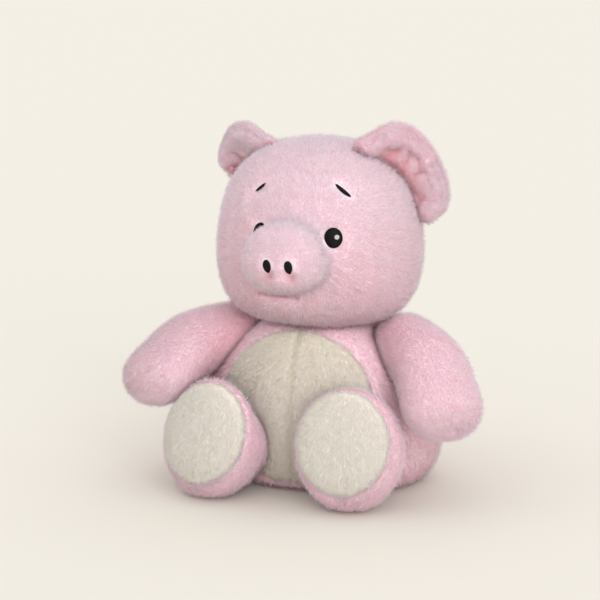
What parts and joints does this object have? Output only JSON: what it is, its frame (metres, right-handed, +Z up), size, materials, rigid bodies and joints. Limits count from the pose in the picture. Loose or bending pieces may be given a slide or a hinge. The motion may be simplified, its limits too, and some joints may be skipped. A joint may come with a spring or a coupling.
{
  "type": "plush toy",
  "caption": "Seated plush pig with a sewn cover over filling, cream belly and soles, a padded snout, turning head and limbs, folding ears and a curled tail.",
  "frame": {"origin": "bottom centre of the whole toy's bounding box, on the surface that it sits on", "axes": "-Y is the way the pig faces, +X is the pig's own left and +Z is up"},
  "size_m": [0.2472, 0.1845, 0.25],
  "materials": {
    "pink_plush": "soft pile plush, pale pink",
    "rose_lining": "short pile lining, deeper rose",
    "cream_plush": "soft pile plush, cream",
    "black_thread": "satin-stitch embroidery thread, black",
    "pale_thread": "satin-stitch embroidery thread, pale",
    "filling": "polyester fibre filling, white",
    "pellet_bag": "thin woven bag of plastic pellets"
  },
  "bodies": {
    "torso": {"torso_skin": "pink_plush", "belly_panel_left": "cream_plush", "belly_panel_right": "cream_plush", "torso_stuffing": "filling", "pellet_pouch": "pellet_bag"},
    "neck": {"neck_stuffing": "filling"},
    "head": {"head_skin": "pink_plush", "head_stuffing": "filling", "snout_skin": "pink_plush", "snout_stuffing": "filling", "eye_left": "black_thread", "eye_right": "black_thread", "eye_glint_left": "pale_thread", "eye_glint_right": "pale_thread", "nostril_left": "black_thread", "nostril_right": "black_thread", "brow_left": "black_thread", "brow_right": "black_thread"},
    "ear_left": {"ear_back_left": "pink_plush", "ear_lining_left": "rose_lining"},
    "ear_right": {"ear_back_right": "pink_plush", "ear_lining_right": "rose_lining"},
    "arm_left": {"arm_skin_left": "pink_plush", "arm_stuffing_left": "filling"},
    "arm_right": {"arm_skin_right": "pink_plush", "arm_stuffing_right": "filling"},
    "leg_left": {"leg_skin_left": "pink_plush", "sole_left": "cream_plush", "leg_stuffing_left": "filling"},
    "leg_right": {"leg_skin_right": "pink_plush", "sole_right": "cream_plush", "leg_stuffing_right": "filling"},
    "tail": {"tail": "pink_plush"}
  },
  "joints": [
    {"name": "head_turn", "type": "hinge", "parent": "torso", "child": "neck", "pos_m": [-0.003, 0.009, 0.115], "axis": [0, 0, 1], "range_deg": [-25, 25], "stiffness_Nm_per_rad": 0.4},
    {"name": "head_nod", "type": "hinge", "parent": "neck", "child": "head", "pos_m": [-0.003, 0.009, 0.115], "axis": [1, 0, 0], "range_deg": [-8, 10], "stiffness_Nm_per_rad": 1.2},
    {"name": "ear_left_fold", "type": "hinge", "parent": "head", "child": "ear_left", "pos_m": [0.051, 0.013, 0.214], "axis": [0.401, 0.3609, -0.842], "range_deg": [-20, 20], "stiffness_Nm_per_rad": 0.02},
    {"name": "ear_right_fold", "type": "hinge", "parent": "head", "child": "ear_right", "pos_m": [-0.0566, 0.021, 0.2105], "axis": [-0.401, 0.3609, -0.842], "range_deg": [-20, 20], "stiffness_Nm_per_rad": 0.02},
    {"name": "arm_left_swing", "type": "hinge", "parent": "torso", "child": "arm_left", "pos_m": [0.05188, 0.009, 0.087], "axis": [0.7431, 0, 0.6691], "range_deg": [-20, 20], "stiffness_Nm_per_rad": 0.15},
    {"name": "arm_right_swing", "type": "hinge", "parent": "torso", "child": "arm_right", "pos_m": [-0.05788, 0.009, 0.087], "axis": [0.7431, 0, -0.6691], "range_deg": [-20, 20], "stiffness_Nm_per_rad": 0.15},
    {"name": "leg_left_swing", "type": "hinge", "parent": "torso", "child": "leg_left", "pos_m": [0.038, -0.038, 0.034], "axis": [1, 0, 0], "range_deg": [-15, 10], "stiffness_Nm_per_rad": 0.2},
    {"name": "leg_right_swing", "type": "hinge", "parent": "torso", "child": "leg_right", "pos_m": [-0.044, -0.038, 0.034], "axis": [1, 0, 0], "range_deg": [-15, 10], "stiffness_Nm_per_rad": 0.2},
    {"name": "tail_wag", "type": "hinge", "parent": "torso", "child": "tail", "pos_m": [-0.003, 0.0719, 0.044], "axis": [0, 0, 1], "range_deg": [-20, 20], "stiffness_Nm_per_rad": 0.01}
  ]
}
